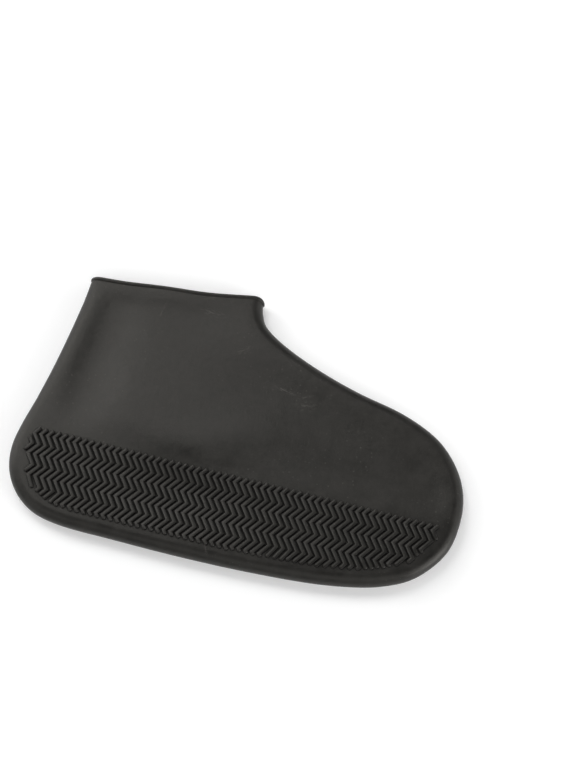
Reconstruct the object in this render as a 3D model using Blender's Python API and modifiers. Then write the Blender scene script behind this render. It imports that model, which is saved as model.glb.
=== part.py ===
"""Waterproof overshoe, moulded in one piece from silicone rubber and lying flat on its side.

Two thin walls, one above the other, are joined round the heel, sole, toe and instep by a rounded
border, and stay open at the mouth, where a bead runs round the rim. Herringbone ribs stand on
both walls in a band along the sole. +X runs from heel to toe, +Y from sole to mouth and +Z up
through the two walls. The origin is under the middle of the overshoe, on the surface it lies on.
"""
import math
from collections import namedtuple

import bmesh
import bpy
from mathutils import Vector
from mathutils.geometry import delaunay_2d_cdt

# Driving dimensions in metres
LENGTH = 0.300          # heel to toe
HEIGHT = 0.1875         # sole to the top of the rim bead
THICKNESS = 0.0165      # over the ribs of both walls, as it lies
WALL = 0.0013
BORDER_ROUND = 0.0075   # how far the rounded border reaches in from the outline
BEAD = 0.0030           # across the rim bead
TREAD_TOP = 0.0600      # sole to the upper edge of the tread
TREAD_MARGIN = 0.0098   # plain strip between the tread and the outline
RIB_START = 0.0030      # the heel end of the overshoe to the top of the first rib
RIB_PITCH = 0.00457
RIB_ROW = 0.0071        # height of one slanted stretch of a rib
RIB_SWING = 0.0054      # how far a slanted stretch goes sideways
RIB_LEAD = 0.0042       # height of the short end above the first stretch
RIB_WIDTH = 0.0021
RIB_RISE = 0.0014
PUFF = 0.0008           # how far the plain middle of each wall swells
DENT_DEPTH = 0.0010     # unit of the crest and the dents in the upper wall

# Fineness of the mesh
SIDE_STEPS = 72
ROUND_STEPS = 3
RIM_STEPS = 9
BEAD_STEPS = 18
MESH_GRID = 0.0180

RIM_HEIGHT = HEIGHT - BEAD / 2              # sole to the middle of the rim bead
STAND = max(RIB_RISE, (BEAD - WALL) / 2)    # plain wall to the surface it lies on
HALF_DEPTH = THICKNESS / 2 - STAND          # plain wall to the middle plane

# The outline, as shares of LENGTH from the heel and of RIM_HEIGHT from the sole
Knot = namedtuple("Knot", "along up")
HEEL_EDGE = (
    Knot(0.058, 0.930),
    Knot(0.054, 0.821),
    Knot(0.037, 0.594),
    Knot(0.021, 0.443),
    Knot(0.006, 0.330),
    Knot(0.000, 0.250),
    Knot(0.006, 0.178),
    Knot(0.023, 0.118),
    Knot(0.055, 0.061),
    Knot(0.097, 0.023),
)
SOLE_EDGE = (
    Knot(0.161, 0.005),
    Knot(0.265, 0.002),
    Knot(0.383, 0.000),
    Knot(0.495, 0.002),
    Knot(0.606, 0.009),
    Knot(0.715, 0.022),
    Knot(0.800, 0.043),
    Knot(0.863, 0.070),
    Knot(0.922, 0.117),
)
TOE_EDGE = (
    Knot(0.966, 0.189),
    Knot(0.991, 0.264),
    Knot(1.000, 0.368),
    Knot(0.994, 0.457),
    Knot(0.972, 0.538),
    Knot(0.932, 0.615),
    Knot(0.885, 0.665),
)
INSTEP_EDGE = (
    Knot(0.815, 0.708),
    Knot(0.720, 0.742),
    Knot(0.640, 0.780),
    Knot(0.564, 0.827),
    Knot(0.507, 0.873),
    Knot(0.474, 0.913),
    Knot(0.460, 0.955),
    Knot(0.454, 0.991),
)
RIM_EDGE = (
    Knot(0.136, 0.938),
    Knot(0.229, 0.956),
    Knot(0.321, 0.969),
    Knot(0.390, 0.987),
    Knot(0.431, 0.999),
    Knot(0.447, 0.999),
)

# Crest and dents of the upper wall: the middle of each and its reach along and across, as shares
# of LENGTH and RIM_HEIGHT, its turn in degrees from the sole, and its rise as a share of DENT_DEPTH
Dent = namedtuple("Dent", "along up reach breadth turn rise")
DENTS = (
    Dent(0.430, 0.425, 0.165, 0.076, 25, 0.8),
    Dent(0.307, 0.629, 0.262, 0.138, 0, -1.0),
    Dent(0.126, 0.566, 0.058, 0.305, -3, -2.0),
    Dent(0.844, 0.368, 0.300, 0.320, -11, -2.0),
    Dent(0.557, 0.668, 0.236, 0.096, -19, -1.4),
    Dent(0.381, 0.328, 0.117, 0.049, 5, 2.5),
    Dent(0.257, 0.863, 0.214, 0.155, 7, -1.6),
)

Side = namedtuple("Side", "points inward")


def place(knot):
    """The plan point of a knot, with the origin under the middle of the overshoe."""
    return Vector(((knot.along - 0.5) * LENGTH, knot.up * RIM_HEIGHT - HEIGHT / 2))


def smooth_line(knots, steps=12):
    """Points on a smooth curve through the knots."""
    points = [place(knot) for knot in knots]
    ends = [2 * points[0] - points[1]] + points + [2 * points[-1] - points[-2]]
    line = []
    for before, start, stop, after in zip(ends, ends[1:], ends[2:], ends[3:]):
        span = (stop - start).length
        slope_in = (stop - before) * (span / (stop - before).length)
        slope_out = (after - start) * (span / (after - start).length)
        for step in range(steps):
            t = step / steps
            line.append(
                start * (2 * t**3 - 3 * t**2 + 1)
                + slope_in * (t**3 - 2 * t**2 + t)
                + stop * (3 * t**2 - 2 * t**3)
                + slope_out * (t**3 - t**2)
            )
    return line + [points[-1]]


def length_of(line):
    return sum((stop - start).length for start, stop in zip(line, line[1:]))


def point_at(line, distance):
    """The point at a distance along the line."""
    for start, stop in zip(line, line[1:]):
        span = (stop - start).length
        if distance <= span:
            return start.lerp(stop, max(distance, 0) / span)
        distance -= span
    return line[-1].copy()


def spaced(line, count):
    """Points evenly spaced along the line, both ends included."""
    whole = length_of(line)
    return [point_at(line, whole * step / (count - 1)) for step in range(count)]


def inward_normals(points):
    """The plan directions that point into the overshoe from its outline."""
    before = [points[0]] + points[:-1]
    after = points[1:] + [points[-1]]
    chords = [(stop - start).normalized() for start, stop in zip(before, after)]
    return [Vector((-chord.y, chord.x)) for chord in chords]


SIDE_LINE = smooth_line(HEEL_EDGE + SOLE_EDGE + TOE_EDGE + INSTEP_EDGE)
RIM_LINE = smooth_line(HEEL_EDGE[:1] + RIM_EDGE + INSTEP_EDGE[-1:])


def to_outline(point):
    """How far inside the outline a point is, or below zero outside it."""
    nearest = math.inf
    for start, stop in zip(SIDE_LINE, SIDE_LINE[1:]):
        span = stop - start
        share = min(max((point - start).dot(span) / span.length_squared, 0), 1)
        offset = point - start - span * share
        if offset.length < nearest:
            nearest = offset.length
            depth = math.copysign(nearest, offset.dot(Vector((-span.y, span.x))))
    return depth


def ramp(value, width):
    """A smooth rise from 0 to 1 as the value goes from 0 to the width."""
    share = min(max(value / width, 0), 1)
    return share * share * (3 - 2 * share)


def swell(point):
    """How much the plain middle takes part in the relief, from 0 at the tread, border and rim."""
    clear_of_border = ramp(to_outline(point) - BORDER_ROUND, BORDER_ROUND * 1.5)
    above_tread = ramp(point.y + HEIGHT / 2 - TREAD_TOP - RIB_RISE, RIB_ROW * 3)
    below_rim = ramp(min((point - rim).length for rim in RIM_LINE) - BEAD, BEAD * 4)
    return clear_of_border * above_tread * below_rim


def dent_rise(point):
    """The height of the crest and dents at a plan point."""
    rise = 0
    for dent in DENTS:
        turn = math.radians(dent.turn)
        offset = point - place(dent)
        along = (offset.x * math.cos(turn) + offset.y * math.sin(turn)) / (dent.reach * LENGTH)
        across = (offset.y * math.cos(turn) - offset.x * math.sin(turn)) / (dent.breadth * RIM_HEIGHT)
        rise += dent.rise * DENT_DEPTH * math.exp(-along**2 - across**2)
    return rise


def wall_height(point, upper):
    """The height of a wall's outer face away from the rounded border."""
    if upper:
        return THICKNESS - STAND + swell(point) * (PUFF + dent_rise(point))
    return STAND - min(PUFF * 2 * swell(point), STAND)


def border_point(side, step, row, upper):
    """A point of the rounded border: the step goes along the side and the row inward."""
    angle = math.pi / 2 * row / ROUND_STEPS
    inset = BORDER_ROUND * (1 - math.cos(angle))
    last = len(side.points) - 1
    if step == 0:
        plan = point_at(RIM_LINE, inset)
    elif step == last:
        plan = point_at(RIM_LINE, length_of(RIM_LINE) - inset)
    else:
        plan = side.points[step] + side.inward[step] * inset
    lift = HALF_DEPTH * math.sin(angle)
    return plan.to_3d() + Vector((0, 0, THICKNESS / 2 + (lift if upper else -lift)))


def add_face(mesh, corners, upper):
    """A face whose outer side looks up on the upper wall and down on the lower one."""
    mesh.faces.new(corners if upper else corners[::-1])


def inner_points(loop):
    """Plan points on a grid inside the plain part of a wall, clear of its edge."""
    low = Vector((min(p.x for p in loop), min(p.y for p in loop)))
    high = Vector((max(p.x for p in loop), max(p.y for p in loop)))
    points = []
    for row in range(1, int((high.y - low.y) / MESH_GRID) + 1):
        stagger = 0.5 * (row % 2)
        for column in range(int((high.x - low.x) / MESH_GRID) + 1):
            point = low + Vector((column + stagger, row)) * MESH_GRID
            clear = all((point - edge).length > MESH_GRID * 0.6 for edge in loop)
            if clear and is_inside(point, loop):
                points.append(point)
    return points


def is_inside(point, loop):
    """Whether a plan point lies inside a closed loop."""
    inside = False
    for start, stop in zip(loop, loop[1:] + loop[:1]):
        if (start.y > point.y) != (stop.y > point.y):
            crossing = start.x + (point.y - start.y) / (stop.y - start.y) * (stop.x - start.x)
            inside ^= point.x < crossing
    return inside


def fill_wall(mesh, ring, rim, upper):
    """Close one wall inside its rounded border: a flat land for the tread and a plain part."""
    land_top = TREAD_TOP + RIB_RISE - HEIGHT / 2
    below = [step for step, corner in enumerate(ring) if corner.co.y < land_top]
    heel = below[0] - 1
    toe = below[-1] + 1
    start = ring[heel].co
    stop = ring[toe].co
    count = int((stop - start).length / MESH_GRID)
    line = [mesh.verts.new(start.lerp(stop, step / count)) for step in range(1, count)]
    add_face(mesh, ring[heel:toe + 1] + line[::-1], upper)

    loop = ring[:heel + 1] + line + ring[toe:] + rim[::-1]
    plan = [corner.co.to_2d() for corner in loop]
    inner = inner_points(plan)
    edges = [(step, (step + 1) % len(loop)) for step in range(len(loop))]
    points, _, faces, sources, _, _ = delaunay_2d_cdt(plan + inner, edges, [], 1, 1e-7)
    heights = [wall_height(point, upper) for point in inner]
    corners = loop + [
        mesh.verts.new((point.x, point.y, height)) for point, height in zip(inner, heights)
    ]
    for face in faces:
        add_face(mesh, [corners[sources[index][0]] for index in face], upper)


def build_shell(material):
    """The two walls and their border as one open surface, thickened inward."""
    points = spaced(SIDE_LINE, SIDE_STEPS)
    side = Side(points, inward_normals(points))
    mesh = bmesh.new()
    edge = [mesh.verts.new(border_point(side, step, 0, True)) for step in range(SIDE_STEPS)]
    for upper in (True, False):
        outer = edge
        for row in range(1, ROUND_STEPS + 1):
            ring = [
                mesh.verts.new(border_point(side, step, row, upper)) for step in range(SIDE_STEPS)
            ]
            for step in range(SIDE_STEPS - 1):
                quad = [outer[step], outer[step + 1], ring[step + 1], ring[step]]
                add_face(mesh, quad, upper)
            outer = ring
        run = length_of(RIM_LINE) - 2 * BORDER_ROUND
        rim = []
        for step in range(1, RIM_STEPS):
            plan = point_at(RIM_LINE, BORDER_ROUND + run * step / RIM_STEPS)
            rim.append(mesh.verts.new((plan.x, plan.y, wall_height(plan, upper))))
        fill_wall(mesh, outer, rim, upper)
    shell = add_object("overshoe", mesh, material)
    thicken(shell, WALL)
    return shell


def rib_run(start):
    """Plan points of one rib, from the upper edge of the tread down to the plain strip."""
    point = Vector((start, TREAD_TOP - HEIGHT / 2))
    corners = [point]
    lean = -1
    drop = RIB_LEAD
    while point.y > -HEIGHT / 2:
        point = point + Vector((lean * RIB_SWING * drop / RIB_ROW, -drop))
        corners.append(point)
        lean = -lean
        drop = RIB_ROW
    return longest_clear_run(corners)


def on_tread(point):
    """Whether a plan point lies on the tread, inside the plain strip along the outline."""
    return to_outline(point) > TREAD_MARGIN


def longest_clear_run(corners, steps=8):
    """The longest stretch of a rib that lies on the tread."""
    best = []
    run = []
    for start, stop in zip(corners, corners[1:]):
        for step in range(steps):
            point = start.lerp(stop, step / steps)
            if on_tread(point):
                run.append((point, step == 0))
            else:
                run = []
            if len(run) > len(best):
                best = list(run)
    if len(best) < steps:
        return []
    middle = [point for point, corner in best[2:-2] if corner]
    return [best[0][0]] + middle + [best[-1][0]]


def rib_edges(corners):
    """The two long edges of a rib, mitred at its corners."""
    edges = []
    for step, corner in enumerate(corners):
        before = corners[max(step - 1, 0)]
        after = corners[min(step + 1, len(corners) - 1)]
        if corner in (before, after):
            across = (after - before).orthogonal().normalized()
            widen = 1
        else:
            come = (corner - before).normalized()
            go = (after - corner).normalized()
            across = (come + go).orthogonal().normalized()
            widen = 1 / across.dot(come.orthogonal())
        reach = across * widen * RIB_WIDTH / 2
        edges.append((corner + reach, corner - reach))
    return edges


def build_ribs(material, upper):
    """The herringbone ribs of one wall: flat ribbons, thickened down into the wall."""
    mesh = bmesh.new()
    height = THICKNESS - STAND + RIB_RISE if upper else STAND - RIB_RISE
    for number in range(int(LENGTH / RIB_PITCH) + 2):
        corners = rib_run(RIB_START + number * RIB_PITCH - LENGTH / 2)
        if not corners:
            continue
        pairs = [
            (mesh.verts.new((left.x, left.y, height)), mesh.verts.new((right.x, right.y, height)))
            for left, right in rib_edges(corners)
        ]
        for here, below in zip(pairs, pairs[1:]):
            add_face(mesh, [here[0], here[1], below[1], below[0]], upper)
    ribs = add_object("ribs_upper" if upper else "ribs_lower", mesh, material)
    thicken(ribs, RIB_RISE + WALL / 2)
    return ribs


def mouth_loop():
    """Points round the mouth, along the middle of the wall's open edge."""
    whole = length_of(RIM_LINE)
    run = whole - 2 * BORDER_ROUND
    level = HALF_DEPTH - WALL / 2
    reach = BORDER_ROUND - WALL / 2
    points = []
    for wall in (1, -1):
        for step in range(1, BEAD_STEPS):
            share = step / BEAD_STEPS if wall == 1 else 1 - step / BEAD_STEPS
            points.append(rim_point(BORDER_ROUND + run * share, wall * level))
        for step in range(2 * ROUND_STEPS + 1):
            angle = math.pi / 2 * (1 - step / ROUND_STEPS)
            distance = BORDER_ROUND - reach * math.cos(angle)
            if wall == 1:
                distance = whole - distance
            points.append(rim_point(distance, wall * level * math.sin(angle)))
    return points


def rim_point(distance, lift):
    """A point over the rim line, at a height from the middle plane."""
    return point_at(RIM_LINE, distance).to_3d() + Vector((0, 0, THICKNESS / 2 + lift))


def build_bead(material):
    """The bead: a round tube along the mouth, made a mesh so that it can be joined."""
    points = mouth_loop()
    curve = bpy.data.curves.new("bead", "CURVE")
    curve.dimensions = "3D"
    curve.bevel_depth = BEAD / 2
    curve.bevel_resolution = 2
    spline = curve.splines.new("POLY")
    spline.points.add(len(points) - 1)
    spline.use_cyclic_u = True
    for slot, point in zip(spline.points, points):
        slot.co = point.to_4d()
    guide = bpy.data.objects.new("bead_guide", curve)
    bpy.context.scene.collection.objects.link(guide)
    evaluated = guide.evaluated_get(bpy.context.evaluated_depsgraph_get())
    solid = bpy.data.meshes.new_from_object(evaluated)
    bpy.data.objects.remove(guide)
    solid.materials.append(material)
    bead = bpy.data.objects.new("bead", solid)
    bpy.context.scene.collection.objects.link(bead)
    return bead


def add_object(name, mesh, material):
    """An object made from a bmesh, which it frees."""
    data = bpy.data.meshes.new(name)
    mesh.to_mesh(data)
    mesh.free()
    data.materials.append(material)
    item = bpy.data.objects.new(name, data)
    bpy.context.scene.collection.objects.link(item)
    return item


def thicken(item, thickness):
    """Give an open surface its thickness, inward from its outer face."""
    solid = item.modifiers.new("wall", "SOLIDIFY")
    solid.thickness = thickness
    solid.offset = -1
    solid.use_even_offset = True


def join(item, other):
    """Make another solid one with this one."""
    union = item.modifiers.new(other.name, "BOOLEAN")
    union.operation = "UNION"
    union.solver = "EXACT"
    union.object = other


def silicone_material():
    """Matt black silicone rubber."""
    material = bpy.data.materials.new("silicone_rubber")
    material.use_nodes = True
    shader = material.node_tree.nodes["Principled BSDF"]
    shader.inputs["Base Color"].default_value = (0.035, 0.034, 0.033, 1)
    shader.inputs["Roughness"].default_value = 0.6
    shader.inputs["Metallic"].default_value = 0
    return material


def move_to(item, collection):
    """Put an object in one collection only."""
    for holder in list(item.users_collection):
        holder.objects.unlink(item)
    collection.objects.link(item)


def main():
    for item in list(bpy.data.objects):
        bpy.data.objects.remove(item)
    finished = bpy.data.collections.new("overshoe")
    guides = bpy.data.collections.new("joined_shapes")
    for collection in (finished, guides):
        bpy.context.scene.collection.children.link(collection)

    rubber = silicone_material()
    shell = build_shell(rubber)
    move_to(shell, finished)
    for shape in (build_bead(rubber), build_ribs(rubber, True), build_ribs(rubber, False)):
        move_to(shape, guides)
        shape.hide_render = True
        shape.display_type = "WIRE"
        join(shell, shape)
    shell.data.shade_smooth()
    shell.data.set_sharp_from_angle(angle=math.radians(35))


main()
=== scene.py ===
"""Looks of the waterproof overshoe: its moulded silicone skin, the floor, the lights and the camera.

The skin replaces the plain solid and keeps its form: two walls joined by a rounded border, open
at the mouth, with a bead round the rim and rounded herringbone ribs on both walls.
"""
import math
from collections import namedtuple

import bmesh
import bpy
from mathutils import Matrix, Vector, noise
from mathutils.geometry import delaunay_2d_cdt


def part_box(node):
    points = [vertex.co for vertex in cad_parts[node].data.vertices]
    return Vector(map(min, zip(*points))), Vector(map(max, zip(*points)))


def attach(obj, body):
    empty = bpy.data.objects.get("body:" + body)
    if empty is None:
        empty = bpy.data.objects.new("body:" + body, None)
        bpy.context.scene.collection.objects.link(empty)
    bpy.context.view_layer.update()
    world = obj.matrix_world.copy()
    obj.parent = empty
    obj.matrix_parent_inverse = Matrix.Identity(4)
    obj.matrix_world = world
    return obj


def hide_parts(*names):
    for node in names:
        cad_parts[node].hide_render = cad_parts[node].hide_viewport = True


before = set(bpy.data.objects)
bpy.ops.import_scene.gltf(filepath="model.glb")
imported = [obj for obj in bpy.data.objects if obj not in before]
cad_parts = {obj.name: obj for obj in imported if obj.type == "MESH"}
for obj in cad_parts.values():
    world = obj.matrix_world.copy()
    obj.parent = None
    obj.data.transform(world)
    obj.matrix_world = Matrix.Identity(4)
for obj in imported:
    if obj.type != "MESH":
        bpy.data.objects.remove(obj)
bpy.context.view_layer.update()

# Sizes in metres, the length and the height from the frame
LOW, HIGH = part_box("overshoe")
LENGTH = HIGH.x - LOW.x
HEIGHT = HIGH.y - LOW.y
THICKNESS = 0.0165      # over the ribs of both walls, as it lies
WALL = 0.0013
BORDER_ROUND = 0.0075   # how far the rounded border reaches in from the outline
BEAD = 0.0030           # across the rim bead
TREAD_TOP = 0.0600      # sole to the upper edge of the tread
TREAD_MARGIN = 0.0098   # plain strip between the tread and the outline
RIB_START = 0.0030      # the heel end of the overshoe to the top of the first rib
RIB_PITCH = 0.00457
RIB_ROW = 0.0071        # height of one slanted stretch of a rib
RIB_SWING = 0.0054      # how far a slanted stretch goes sideways
RIB_LEAD = 0.0042       # height of the short end above the first stretch
RIB_WIDTH = 0.0021
RIB_RISE = 0.0014
RIB_END = 0.0005        # length of the rounding at a rib's end
RIB_TIP = 0.72          # share of the full section at a rib's very end
RIB_FOOT = 0.0005       # how deep a rib's foot goes into the wall
PUFF = 0.0008           # how far the plain middle of each wall swells
DENT_DEPTH = 0.0010     # unit of the crest and the dents in the upper wall
WAVER = 0.00018         # unevenness of the upper wall
WAVER_SPAN = 0.045      # from one rise of the unevenness to the next, about
GROOVE_REACH = 0.0030   # how near other rubber must be for a groove to get painted shade and a duller finish

# How the relief fades out: in from the border, up from the tread and down from the rim
BORDER_FADE = BORDER_ROUND * 1.5
TREAD_FADE = RIB_ROW * 3
RIM_FADE = BEAD * 4

# Fineness of the mesh
CURVE_STEPS = 12        # between two knots of the outline
SIDE_STEPS = 300        # along the outline, from one end of the rim to the other
ROUND_STEPS = 8         # across the border, from its edge to a wall
RIM_STEPS = 32          # along the rim of a wall
BEAD_STEPS = 60         # along the bead on one wall
BEAD_ROUNDNESS = 5      # how finely the bead is rounded
RIB_STEPS = 8           # tests for the tread's edge along a slanted stretch of a rib
RIB_END_STEPS = 2       # a rib's corner as near as this to the tread's edge is left out
MESH_GRID = 0.0045      # between two points of a wall
GRID_STAGGER = 0.5      # share of MESH_GRID by which every second row of points is moved
GRID_CLEARANCE = 0.6    # least share of MESH_GRID between those points and the wall's edge
MERGE_NEARER = 1e-7     # plan points nearer than this are taken as one
INSIDE_ONLY = 1         # keeps only the triangles inside the wall's edge
SHARP_ANGLE = math.radians(38)      # edges that bend more than this are shaded sharp

RIM_HEIGHT = HEIGHT - BEAD / 2              # sole to the middle of the rim bead
STAND = max(RIB_RISE, (BEAD - WALL) / 2)    # plain wall to the surface it lies on
HALF_DEPTH = THICKNESS / 2 - STAND          # plain wall to the middle plane

# The outline, as shares of LENGTH from the heel and of RIM_HEIGHT up from the sole
Knot = namedtuple("Knot", "along up")
HEEL_EDGE = (
    Knot(0.058, 0.930),
    Knot(0.054, 0.821),
    Knot(0.037, 0.594),
    Knot(0.021, 0.443),
    Knot(0.006, 0.330),
    Knot(0.000, 0.250),
    Knot(0.006, 0.178),
    Knot(0.023, 0.118),
    Knot(0.055, 0.061),
    Knot(0.097, 0.023),
)
SOLE_EDGE = (
    Knot(0.161, 0.005),
    Knot(0.265, 0.002),
    Knot(0.383, 0.000),
    Knot(0.495, 0.002),
    Knot(0.606, 0.009),
    Knot(0.715, 0.022),
    Knot(0.800, 0.043),
    Knot(0.863, 0.070),
    Knot(0.922, 0.117),
)
TOE_EDGE = (
    Knot(0.966, 0.189),
    Knot(0.991, 0.264),
    Knot(1.000, 0.368),
    Knot(0.994, 0.457),
    Knot(0.972, 0.538),
    Knot(0.932, 0.615),
    Knot(0.885, 0.665),
)
INSTEP_EDGE = (
    Knot(0.815, 0.708),
    Knot(0.720, 0.742),
    Knot(0.640, 0.780),
    Knot(0.564, 0.827),
    Knot(0.507, 0.873),
    Knot(0.474, 0.913),
    Knot(0.460, 0.955),
    Knot(0.454, 0.991),
)
RIM_EDGE = (
    Knot(0.136, 0.938),
    Knot(0.229, 0.956),
    Knot(0.321, 0.969),
    Knot(0.390, 0.987),
    Knot(0.431, 0.999),
    Knot(0.447, 0.999),
)

# Crest and dents of the upper wall: the middle of each and its reach along and across, as shares
# of LENGTH and RIM_HEIGHT, its turn in degrees from the sole, and its rise as a share of DENT_DEPTH
Dent = namedtuple("Dent", "along up reach breadth turn rise")
DENTS = (
    Dent(0.430, 0.425, 0.165, 0.076, 25, 0.8),
    Dent(0.307, 0.629, 0.262, 0.138, 0, -1.0),
    Dent(0.126, 0.566, 0.058, 0.305, -3, -2.0),
    Dent(0.844, 0.368, 0.300, 0.320, -11, -2.0),
    Dent(0.557, 0.668, 0.236, 0.096, -19, -1.4),
    Dent(0.381, 0.328, 0.117, 0.049, 5, 2.5),
    Dent(0.257, 0.863, 0.214, 0.155, 7, -1.6),
)

# Sag of the upper wall under the tread, in the same columns
SAGS = (
    Dent(0.400, 0.220, 0.130, 0.110, 0, -2.2),
)

# Pale scuffs on the upper wall: the middle of each in the same shares, its length and breadth in
# metres, its turn in degrees from the sole and how pale it is
Scuff = namedtuple("Scuff", "along up length breadth turn paleness")
SCUFFS = (
    Scuff(0.556, 0.678, 0.020, 0.0030, -12, 1.0),
    Scuff(0.605, 0.672, 0.014, 0.0022, 25, 0.7),
    Scuff(0.238, 0.865, 0.018, 0.0020, 80, 0.6),
    Scuff(0.350, 0.905, 0.024, 0.0060, -4, 0.5),
    Scuff(0.440, 0.790, 0.018, 0.0050, 35, 0.5),
    Scuff(0.480, 0.040, 0.008, 0.0024, -60, 1.0),
    Scuff(0.610, 0.640, 0.018, 0.0100, 10, 0.4),
)

# A rib's section, as shares of its half width and of its rise
RIB_SECTION = (
    (-1.20, 0.00),
    (-1.12, 0.60),
    (-0.98, 0.88),
    (-0.70, 1.00),
    (0.70, 1.00),
    (0.98, 0.88),
    (1.12, 0.60),
    (1.20, 0.00),
)

Side = namedtuple("Side", "points inward")


def place(row):
    """The plan point of a knot, dent or scuff."""
    return Vector((LOW.x + row.along * LENGTH, LOW.y + row.up * RIM_HEIGHT))


def smooth_line(knots):
    """Points on a smooth curve through the knots."""
    points = [place(knot) for knot in knots]
    ends = [2 * points[0] - points[1]] + points + [2 * points[-1] - points[-2]]
    line = []
    for before, start, stop, after in zip(ends, ends[1:], ends[2:], ends[3:]):
        span = (stop - start).length
        slope_in = (stop - before) * (span / (stop - before).length)
        slope_out = (after - start) * (span / (after - start).length)
        for step in range(CURVE_STEPS):
            t = step / CURVE_STEPS
            line.append(
                start * (2 * t**3 - 3 * t**2 + 1)
                + slope_in * (t**3 - 2 * t**2 + t)
                + stop * (3 * t**2 - 2 * t**3)
                + slope_out * (t**3 - t**2)
            )
    return line + [points[-1]]


def length_of(line):
    """The length of a line of points."""
    return sum((stop - start).length for start, stop in zip(line, line[1:]))


def point_at(line, distance):
    """The point at a distance along the line."""
    for start, stop in zip(line, line[1:]):
        span = (stop - start).length
        if distance <= span:
            return start.lerp(stop, max(distance, 0) / span)
        distance -= span
    return line[-1].copy()


def spaced(line, count):
    """Points evenly spaced along the line, both ends included."""
    whole = length_of(line)
    return [point_at(line, whole * step / (count - 1)) for step in range(count)]


def inward_normals(points):
    """The plan directions that point into the overshoe from its outline."""
    before = [points[0]] + points[:-1]
    after = points[1:] + [points[-1]]
    chords = [(stop - start).normalized() for start, stop in zip(before, after)]
    return [Vector((-chord.y, chord.x)) for chord in chords]


SIDE_LINE = smooth_line(HEEL_EDGE + SOLE_EDGE + TOE_EDGE + INSTEP_EDGE)
RIM_LINE = smooth_line(HEEL_EDGE[:1] + RIM_EDGE + INSTEP_EDGE[-1:])


def to_outline(point):
    """How far inside the outline a point is, below zero outside it."""
    nearest = math.inf
    for start, stop in zip(SIDE_LINE, SIDE_LINE[1:]):
        span = stop - start
        share = min(max((point - start).dot(span) / span.length_squared, 0), 1)
        offset = point - start - span * share
        if offset.length < nearest:
            nearest = offset.length
            depth = math.copysign(nearest, offset.dot(Vector((-span.y, span.x))))
    return depth


def ramp(value, width):
    """A smooth rise from 0 to 1 as the value goes from 0 to the width."""
    share = min(max(value / width, 0), 1)
    return share * share * (3 - 2 * share)


def clear_of_border(point):
    """How clear a point is of the rounded border, from 0 at the border to 1 well inside it."""
    return ramp(to_outline(point) - BORDER_ROUND, BORDER_FADE)


def swell(point):
    """How much the plain middle takes part in the relief, from 0 at the tread, border and rim."""
    above_tread = ramp(point.y - LOW.y - TREAD_TOP - RIB_RISE, TREAD_FADE)
    below_rim = ramp(min((point - rim).length for rim in RIM_LINE) - BEAD, RIM_FADE)
    return clear_of_border(point) * above_tread * below_rim


def rise_of(dents, point):
    """The height that a table of dents adds at a plan point."""
    rise = 0
    for dent in dents:
        turn = math.radians(dent.turn)
        offset = point - place(dent)
        along = (offset.x * math.cos(turn) + offset.y * math.sin(turn)) / (dent.reach * LENGTH)
        across = (offset.y * math.cos(turn) - offset.x * math.sin(turn)) / (dent.breadth * RIM_HEIGHT)
        rise += dent.rise * DENT_DEPTH * math.exp(-along**2 - across**2)
    return rise


def wall_height(point, upper):
    """The height of a wall's outer face away from the rounded border."""
    if upper:
        waver = WAVER * noise.noise(point.to_3d() / WAVER_SPAN)
        relief = swell(point) * (PUFF + rise_of(DENTS, point))
        sag = clear_of_border(point) * rise_of(SAGS, point)
        return THICKNESS - STAND + relief + sag + waver
    return STAND - min(PUFF * 2 * swell(point), STAND)


def border_point(side, step, row, upper):
    """A point of the rounded border: the step goes along the side and the row inward."""
    angle = math.pi / 2 * row / ROUND_STEPS
    inset = BORDER_ROUND * (1 - math.cos(angle))
    last = len(side.points) - 1
    if step == 0:
        plan = point_at(RIM_LINE, inset)
    elif step == last:
        plan = point_at(RIM_LINE, length_of(RIM_LINE) - inset)
    else:
        plan = side.points[step] + side.inward[step] * inset
    lift = HALF_DEPTH * math.sin(angle)
    height = THICKNESS / 2 + (lift if upper else -lift)
    plain = THICKNESS - STAND if upper else STAND
    height += (wall_height(plan, upper) - plain) * row / ROUND_STEPS
    return plan.to_3d() + Vector((0, 0, height))


def add_face(mesh, corners, upper):
    """A face whose outer side looks up on the upper wall and down on the lower one."""
    mesh.faces.new(corners if upper else corners[::-1])


def is_inside(point, loop):
    """Whether a plan point lies inside a closed loop."""
    inside = False
    for start, stop in zip(loop, loop[1:] + loop[:1]):
        if (start.y > point.y) != (stop.y > point.y):
            crossing = start.x + (point.y - start.y) / (stop.y - start.y) * (stop.x - start.x)
            inside ^= point.x < crossing
    return inside


def inner_points(loop):
    """Plan points on a grid inside a wall, clear of its edge."""
    low = Vector((min(p.x for p in loop), min(p.y for p in loop)))
    high = Vector((max(p.x for p in loop), max(p.y for p in loop)))
    points = []
    for row in range(1, int((high.y - low.y) / MESH_GRID) + 1):
        stagger = GRID_STAGGER * (row % 2)
        for column in range(int((high.x - low.x) / MESH_GRID) + 1):
            point = low + Vector((column + stagger, row)) * MESH_GRID
            clear = all((point - edge).length > MESH_GRID * GRID_CLEARANCE for edge in loop)
            if clear and is_inside(point, loop):
                points.append(point)
    return points


def fill_wall(mesh, ring, rim, upper):
    """Close one wall inside its rounded border with an even net of triangles."""
    loop = ring + rim[::-1]
    plan = [corner.co.to_2d() for corner in loop]
    inner = inner_points(plan)
    edges = [(step, (step + 1) % len(loop)) for step in range(len(loop))]
    net = delaunay_2d_cdt(plan + inner, edges, [], INSIDE_ONLY, MERGE_NEARER)
    _, _, faces, sources, _, _ = net
    corners = loop + [
        mesh.verts.new((point.x, point.y, wall_height(point, upper))) for point in inner
    ]
    for face in faces:
        add_face(mesh, [corners[sources[index][0]] for index in face], upper)


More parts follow.
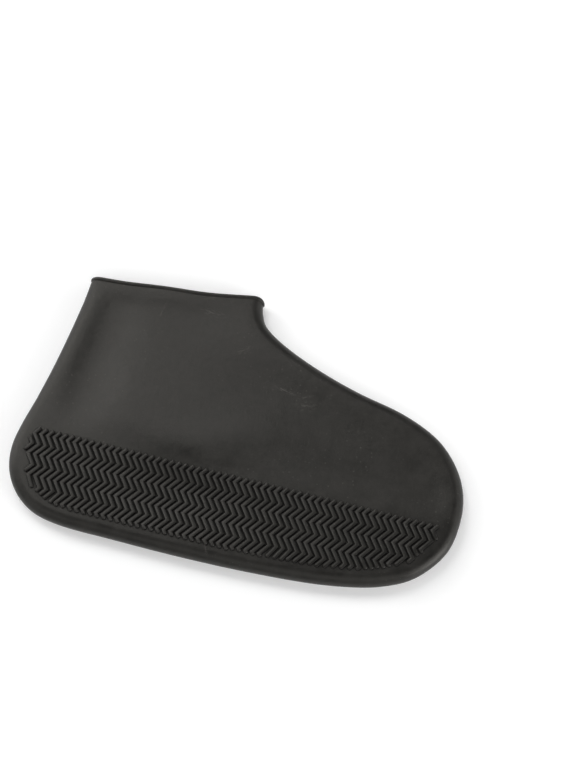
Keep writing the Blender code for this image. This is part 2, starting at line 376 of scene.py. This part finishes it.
def build_shell(material):
    """The two walls and their border as one open surface, thickened inward."""
    points = spaced(SIDE_LINE, SIDE_STEPS)
    side = Side(points, inward_normals(points))
    mesh = bmesh.new()
    edge = [mesh.verts.new(border_point(side, step, 0, True)) for step in range(SIDE_STEPS)]
    for upper in (True, False):
        outer = edge
        for row in range(1, ROUND_STEPS + 1):
            ring = [
                mesh.verts.new(border_point(side, step, row, upper)) for step in range(SIDE_STEPS)
            ]
            for step in range(SIDE_STEPS - 1):
                quad = [outer[step], outer[step + 1], ring[step + 1], ring[step]]
                add_face(mesh, quad, upper)
            outer = ring
        run = length_of(RIM_LINE) - 2 * BORDER_ROUND
        rim = []
        for step in range(1, RIM_STEPS):
            plan = point_at(RIM_LINE, BORDER_ROUND + run * step / RIM_STEPS)
            rim.append(mesh.verts.new((plan.x, plan.y, wall_height(plan, upper))))
        fill_wall(mesh, outer, rim, upper)
    shell = add_object("overshoe_skin", mesh, material)
    solid = shell.modifiers.new("wall", "SOLIDIFY")
    solid.thickness = WALL
    solid.offset = -1
    solid.use_even_offset = True
    return shell


def on_tread(point):
    """Whether a plan point lies on the tread, inside the plain strip along the outline."""
    return to_outline(point) > TREAD_MARGIN


def longest_clear_run(corners):
    """The longest stretch of a rib that lies on the tread."""
    best = []
    run = []
    for start, stop in zip(corners, corners[1:]):
        for step in range(RIB_STEPS):
            point = start.lerp(stop, step / RIB_STEPS)
            if on_tread(point):
                run.append((point, step == 0))
            else:
                run = []
            if len(run) > len(best):
                best = list(run)
    if len(best) < RIB_STEPS:
        return []
    middle = [point for point, is_corner in best[RIB_END_STEPS:-RIB_END_STEPS] if is_corner]
    return [best[0][0]] + middle + [best[-1][0]]


def rib_run(start):
    """Plan points of one rib, from the upper edge of the tread down to the plain strip."""
    point = Vector((start, LOW.y + TREAD_TOP))
    corners = [point]
    lean = -1
    drop = RIB_LEAD
    while point.y > LOW.y:
        point = point + Vector((lean * RIB_SWING * drop / RIB_ROW, -drop))
        corners.append(point)
        lean = -lean
        drop = RIB_ROW
    return longest_clear_run(corners)


def rib_stations(corners):
    """Sections along a rib: its plan point, its mitred direction across and its fullness."""
    stations = []
    for step, corner in enumerate(corners):
        before = corners[max(step - 1, 0)]
        after = corners[min(step + 1, len(corners) - 1)]
        come = (corner - before).normalized() if step else (after - corner).normalized()
        go = (after - corner).normalized() if step < len(corners) - 1 else come
        across = (come + go).orthogonal().normalized()
        across = across / across.dot(come.orthogonal())
        if step == 0:
            stations.append((corner, across, RIB_TIP))
            stations.append((corner + go * RIB_END, across, 1))
        elif step == len(corners) - 1:
            stations.append((corner - come * RIB_END, across, 1))
            stations.append((corner, across, RIB_TIP))
        else:
            stations.append((corner, across, 1))
    return stations


def build_ribs(material, upper):
    """The rounded herringbone ribs of one wall, with their feet inside the wall."""
    mesh = bmesh.new()
    sign = 1 if upper else -1
    for number in range(int(LENGTH / RIB_PITCH) + 2):
        corners = rib_run(LOW.x + RIB_START + number * RIB_PITCH)
        if not corners:
            continue
        rings = []
        for point, across, fullness in rib_stations(corners):
            base = wall_height(point, upper)
            ring = []
            for width, rise in RIB_SECTION:
                plan = point + across * (width * fullness * RIB_WIDTH / 2)
                lift = RIB_RISE * rise * fullness if rise else -RIB_FOOT
                ring.append(mesh.verts.new((plan.x, plan.y, base + sign * lift)))
            rings.append(ring)
        for here, below in zip(rings, rings[1:]):
            for step in range(len(here)):
                after = (step + 1) % len(here)
                add_face(mesh, [here[step], here[after], below[after], below[step]], not upper)
        add_face(mesh, rings[0][::-1], not upper)
        add_face(mesh, rings[-1], not upper)
    bmesh.ops.recalc_face_normals(mesh, faces=mesh.faces)
    return add_object("ribs_upper" if upper else "ribs_lower", mesh, material)


def mouth_loop():
    """Points round the mouth, along the middle of the wall's open edge."""
    whole = length_of(RIM_LINE)
    run = whole - 2 * BORDER_ROUND
    level = HALF_DEPTH - WALL / 2
    reach = BORDER_ROUND - WALL / 2
    points = []
    for wall in (1, -1):
        for step in range(1, BEAD_STEPS):
            share = step / BEAD_STEPS if wall == 1 else 1 - step / BEAD_STEPS
            points.append(rim_point(BORDER_ROUND + run * share, wall * level))
        for step in range(2 * ROUND_STEPS + 1):
            angle = math.pi / 2 * (1 - step / ROUND_STEPS)
            distance = BORDER_ROUND - reach * math.cos(angle)
            if wall == 1:
                distance = whole - distance
            points.append(rim_point(distance, wall * level * math.sin(angle)))
    return points


def rim_point(distance, lift):
    """A point over the rim line, at a height from the middle plane."""
    return point_at(RIM_LINE, distance).to_3d() + Vector((0, 0, THICKNESS / 2 + lift))


def build_bead(material):
    """The bead: a round tube along the mouth, made a mesh so that it can be joined."""
    points = mouth_loop()
    curve = bpy.data.curves.new("bead", "CURVE")
    curve.dimensions = "3D"
    curve.bevel_depth = BEAD / 2
    curve.bevel_resolution = BEAD_ROUNDNESS
    spline = curve.splines.new("POLY")
    spline.points.add(len(points) - 1)
    spline.use_cyclic_u = True
    for slot, point in zip(spline.points, points):
        slot.co = point.to_4d()
    guide = bpy.data.objects.new("bead_guide", curve)
    bpy.context.scene.collection.objects.link(guide)
    evaluated = guide.evaluated_get(bpy.context.evaluated_depsgraph_get())
    solid = bpy.data.meshes.new_from_object(evaluated)
    bpy.data.objects.remove(guide)
    solid.materials.append(material)
    bead = bpy.data.objects.new("bead", solid)
    bpy.context.scene.collection.objects.link(bead)
    return bead


def add_object(name, mesh, material):
    """An object made from a bmesh, which it frees."""
    data = bpy.data.meshes.new(name)
    mesh.to_mesh(data)
    mesh.free()
    data.materials.append(material)
    item = bpy.data.objects.new(name, data)
    bpy.context.scene.collection.objects.link(item)
    return item


def fuse(item, others):
    """Join other solids to this one, so that it is a single plain mesh."""
    for other in others:
        union = item.modifiers.new(other.name, "BOOLEAN")
        union.operation = "UNION"
        union.solver = "EXACT"
        union.object = other
    evaluated = item.evaluated_get(bpy.context.evaluated_depsgraph_get())
    fused = bpy.data.meshes.new_from_object(evaluated)
    item.modifiers.clear()
    item.data = fused
    for other in others:
        bpy.data.objects.remove(other)


# Colours: painted shade deep in a groove, the two tones of the rubber's mottle, and dust
GROOVE_PAINTED_SHADE = (0.0010, 0.0010, 0.0009, 1)
DARK_TONE = (0.0040, 0.0038, 0.0034, 1)
PALE_TONE = (0.0130, 0.0124, 0.0113, 1)
DUST = (0.070, 0.066, 0.060, 1)
GLOSS_TINT = (1, 0.97, 0.91, 1)
RUBBER_IOR = 1.41

# The patterns of the rubber, each with the settings of its own node
MOTTLE = {"Scale": 70, "Detail": 6, "Roughness": 0.75}
MOTTLE_BAND = (0.35, 0.65)      # where the dark tone ends and the pale tone begins
FINISH = {"From Min": 0.3, "From Max": 0.7, "To Min": 0.37, "To Max": 0.48}    # roughness by mottle
GRAIN = {"Scale": 260, "Detail": 5, "Roughness": 0.8}
GRAIN_BUMP = {"Strength": 0.6, "Distance": 0.0003}
GROOVE_SAMPLES = 8
GROOVE_BAND = {"From Min": 0.45, "From Max": 0.85}
GROOVE_FINISH = {"To Min": 1}                           # roughness deep in a groove
SPECKS = {"Scale": 260}
SPECK_EDGE = {"From Min": 0.18, "From Max": 0.07}       # in from a speck's edge to its middle
PATCHES = {"Scale": 22, "Detail": 2}                    # where specks gather
PATCH_BAND = {"From Min": 0.46, "From Max": 0.72, "To Max": 0.4}
SCUFF_EDGE = {"From Min": 1, "From Max": 0.2}           # in from a scuff's edge to its middle
STREAKS = {"Scale": 3.5, "Detail": 4}                   # within a scuff
STREAK_BAND = {"From Min": 0.46, "From Max": 0.62}


def add_node(tree, kind, inputs=None, **settings):
    """A shader node with its settings and the values of its inputs."""
    node = tree.nodes.new(kind)
    for name, value in settings.items():
        setattr(node, name, value)
    for name, value in (inputs or {}).items():
        node.inputs[name].default_value = value
    return node


def scuff_mask(tree, position, scuff):
    """A soft streaky patch of the upper wall, as a socket that is highest in its middle."""
    link = tree.links.new
    centre = place(scuff)
    local = add_node(tree, "ShaderNodeMapping", vector_type="TEXTURE")
    local.inputs["Location"].default_value = (centre.x, centre.y, THICKNESS - STAND)
    local.inputs["Rotation"].default_value = (0, 0, math.radians(scuff.turn))
    local.inputs["Scale"].default_value = (scuff.length / 2, scuff.breadth / 2, THICKNESS / 2)
    reach = add_node(tree, "ShaderNodeVectorMath", operation="LENGTH")
    fade = add_node(tree, "ShaderNodeMapRange", SCUFF_EDGE)
    streaks = add_node(tree, "ShaderNodeTexNoise", STREAKS)
    sharpen = add_node(tree, "ShaderNodeMapRange", STREAK_BAND)
    both = add_node(tree, "ShaderNodeMath", operation="MULTIPLY")
    scaled = add_node(tree, "ShaderNodeMath", {1: scuff.paleness}, operation="MULTIPLY")
    link(position, local.inputs["Vector"])
    link(local.outputs["Vector"], reach.inputs[0])
    link(local.outputs["Vector"], streaks.inputs["Vector"])
    link(reach.outputs["Value"], fade.inputs["Value"])
    link(streaks.outputs["Fac"], sharpen.inputs["Value"])
    link(fade.outputs["Result"], both.inputs[0])
    link(sharpen.outputs["Result"], both.inputs[1])
    link(both.outputs["Value"], scaled.inputs[0])
    return scaled.outputs["Value"]


def dust_mask(tree, position):
    """Sparse fine specks that gather in patches, and the scuffs."""
    link = tree.links.new
    specks = add_node(tree, "ShaderNodeTexVoronoi", SPECKS)
    near = add_node(tree, "ShaderNodeMapRange", SPECK_EDGE)
    patches = add_node(tree, "ShaderNodeTexNoise", PATCHES)
    gather = add_node(tree, "ShaderNodeMapRange", PATCH_BAND)
    mask = add_node(tree, "ShaderNodeMath", operation="MULTIPLY")
    link(position, specks.inputs["Vector"])
    link(position, patches.inputs["Vector"])
    link(specks.outputs["Distance"], near.inputs["Value"])
    link(patches.outputs["Fac"], gather.inputs["Value"])
    link(near.outputs["Result"], mask.inputs[0])
    link(gather.outputs["Result"], mask.inputs[1])
    for scuff in SCUFFS:
        wider = add_node(tree, "ShaderNodeMath", operation="MAXIMUM")
        link(mask.outputs["Value"], wider.inputs[0])
        link(scuff_mask(tree, position, scuff), wider.inputs[1])
        mask = wider
    return mask.outputs["Value"]


def openness(tree):
    """A socket that is 0 deep in a groove and 1 where the surface lies open; it places the painted
    shade and the duller finish of the grooves.
    """
    cover = add_node(tree, "ShaderNodeAmbientOcclusion", {"Distance": GROOVE_REACH})
    cover.samples = GROOVE_SAMPLES
    cover.only_local = True
    spread = add_node(tree, "ShaderNodeMapRange", GROOVE_BAND)
    tree.links.new(cover.outputs["AO"], spread.inputs["Value"])
    return spread.outputs["Result"]


def silicone_material():
    """Matt black silicone rubber, mottled, with painted shade and a duller finish deep in the
    grooves, with dust and faint scuffs.
    """
    material = bpy.data.materials.new("silicone_rubber")
    material.use_nodes = True
    tree = material.node_tree
    link = tree.links.new
    shader = tree.nodes["Principled BSDF"]
    shader.inputs["Metallic"].default_value = 0
    shader.inputs["IOR"].default_value = RUBBER_IOR
    shader.inputs["Specular Tint"].default_value = GLOSS_TINT
    position = add_node(tree, "ShaderNodeTexCoord").outputs["Object"]

    mottle = add_node(tree, "ShaderNodeTexNoise", MOTTLE)
    link(position, mottle.inputs["Vector"])
    tone = add_node(tree, "ShaderNodeValToRGB")
    tones = (DARK_TONE, PALE_TONE)
    for stop, share, colour in zip(tone.color_ramp.elements, MOTTLE_BAND, tones):
        stop.position = share
        stop.color = colour
    link(mottle.outputs["Fac"], tone.inputs["Fac"])

    open_share = openness(tree)
    # Painted shade: the base colour goes to near black deep in a groove
    shaded = add_node(tree, "ShaderNodeMix", data_type="RGBA")
    shaded.inputs["A"].default_value = GROOVE_PAINTED_SHADE
    link(open_share, shaded.inputs["Factor"])
    link(tone.outputs["Color"], shaded.inputs["B"])

    dusty = add_node(tree, "ShaderNodeMix", data_type="RGBA")
    dusty.inputs["B"].default_value = DUST
    link(shaded.outputs["Result"], dusty.inputs["A"])
    link(dust_mask(tree, position), dusty.inputs["Factor"])
    link(dusty.outputs["Result"], shader.inputs["Base Color"])

    finish = add_node(tree, "ShaderNodeMapRange", FINISH)
    link(mottle.outputs["Fac"], finish.inputs["Value"])
    duller = add_node(tree, "ShaderNodeMapRange", GROOVE_FINISH)
    link(open_share, duller.inputs["Value"])
    link(finish.outputs["Result"], duller.inputs["To Max"])
    link(duller.outputs["Result"], shader.inputs["Roughness"])

    grain = add_node(tree, "ShaderNodeTexNoise", GRAIN)
    link(position, grain.inputs["Vector"])
    bump = add_node(tree, "ShaderNodeBump", GRAIN_BUMP)
    link(grain.outputs["Fac"], bump.inputs["Height"])
    link(bump.outputs["Normal"], shader.inputs["Normal"])
    return material


def build_overshoe():
    """The moulded skin, standing in the scene for the plain solid."""
    rubber = silicone_material()
    skin = build_shell(rubber)
    fuse(skin, [build_bead(rubber), build_ribs(rubber, True), build_ribs(rubber, False)])
    skin.data.shade_smooth()
    skin.data.set_sharp_from_angle(angle=SHARP_ANGLE)
    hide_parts("overshoe")
    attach(skin, "root")


# Camera: the point of the floor that it looks at, its turn, its rise over the floor, its distance
# in metres and its lens in millimetres, fitted to the photograph
AIM = Vector((LOW.x + 0.1661, LOW.y + 0.1361, 0))
CAMERA_TURN = math.radians(14.33)
CAMERA_RISE = math.radians(70)
CAMERA_DISTANCE = 1.12
CAMERA_LENS = 77.3


def build_camera():
    """The photograph's view: from high in front of the sole, turned with the heel to the left."""
    data = bpy.data.cameras.new("camera")
    data.lens = CAMERA_LENS
    camera = bpy.data.objects.new("camera", data)
    bpy.context.scene.collection.objects.link(camera)
    away = Vector((-math.sin(CAMERA_TURN), math.cos(CAMERA_TURN), 0))
    back = Vector((0, 0, math.sin(CAMERA_RISE))) - away * math.cos(CAMERA_RISE)
    camera.location = AIM + back * CAMERA_DISTANCE
    camera.rotation_euler = back.to_track_quat("Z", "Y").to_euler()
    bpy.context.scene.camera = camera


# Square soft lights that face the overshoe: the turn of each from the picture's right, its rise
# over the floor, its distance and width in metres, and its power in watts
Softbox = namedtuple("Softbox", "name turn rise distance size power")
SOFTBOXES = (
    Softbox("key", 122, 59, 1.8, 0.8, 10.0),
    Softbox("second_key", 60, 60, 1.8, 0.8, 2.0),
    Softbox("rib_light", 146, 34, 1.8, 0.8, 7.0),
    Softbox("mouth_rim", 102, 20, 1.8, 1.0, 8.0),
    Softbox("heel_rim", 157, 17, 1.8, 1.1, 7.0),
    Softbox("heel_fill", 208, 34, 1.8, 1.0, 4.5),
    Softbox("sole_fill", 268, 46, 1.8, 1.4, 7.5),
    Softbox("toe_rim", -33, 16, 1.5, 1.0, 16.5),
    Softbox("toe_fill", 20, 26, 1.8, 1.0, 5.5),
)


def add_softbox(box):
    """A square soft light that faces the overshoe."""
    data = bpy.data.lights.new(box.name, "AREA")
    data.energy = box.power
    data.size = box.size
    lamp = bpy.data.objects.new(box.name, data)
    turn = CAMERA_TURN + math.radians(box.turn)
    rise = math.radians(box.rise)
    level = Vector((math.cos(turn), math.sin(turn), 0)) * math.cos(rise)
    away = level + Vector((0, 0, math.sin(rise)))
    lamp.location = away * box.distance
    lamp.rotation_euler = away.to_track_quat("Z", "Y").to_euler()
    bpy.context.scene.collection.objects.link(lamp)


# Strength of the surround, by the sine of the rise over the horizon
HORIZON_FADE = {"From Min": 0.0, "From Max": 0.35, "To Min": 0.60, "To Max": 0.02}
WHITE = (1, 1, 1, 1)

# The floor: half of its width in metres, its colour and roughness, and the strength of the white
# glow that keeps its shadows pale
FLOOR_REACH = 6
FLOOR_COLOUR = (0.86, 0.86, 0.86, 1)
FLOOR_ROUGHNESS = 0.9
FLOOR_GLOW = 0.20


def studio_world():
    """A white surround: pale round the horizon and dim overhead."""
    world = bpy.data.worlds.new("studio")
    world.use_nodes = True
    tree = world.node_tree
    background = tree.nodes["Background"]
    background.inputs["Color"].default_value = WHITE
    direction = add_node(tree, "ShaderNodeTexCoord")
    split = add_node(tree, "ShaderNodeSeparateXYZ")
    fade = add_node(tree, "ShaderNodeMapRange", HORIZON_FADE, interpolation_type="SMOOTHSTEP")
    tree.links.new(direction.outputs["Generated"], split.inputs["Vector"])
    tree.links.new(split.outputs["Z"], fade.inputs["Value"])
    tree.links.new(fade.outputs["Result"], background.inputs["Strength"])
    return world


def build_studio():
    """A pale floor, the soft lights and a white surround."""
    mesh = bmesh.new()
    bmesh.ops.create_grid(mesh, x_segments=1, y_segments=1, size=FLOOR_REACH)
    paper = bpy.data.materials.new("pale_floor")
    paper.use_nodes = True
    shader = paper.node_tree.nodes["Principled BSDF"]
    shader.inputs["Base Color"].default_value = FLOOR_COLOUR
    shader.inputs["Roughness"].default_value = FLOOR_ROUGHNESS
    shader.inputs["Emission Color"].default_value = WHITE
    shader.inputs["Emission Strength"].default_value = FLOOR_GLOW
    floor = add_object("floor", mesh, paper)

    bpy.context.scene.world = studio_world()
    for box in SOFTBOXES:
        add_softbox(box)
    bpy.context.scene.view_settings.view_transform = "Standard"


build_camera()
build_studio()
build_overshoe()
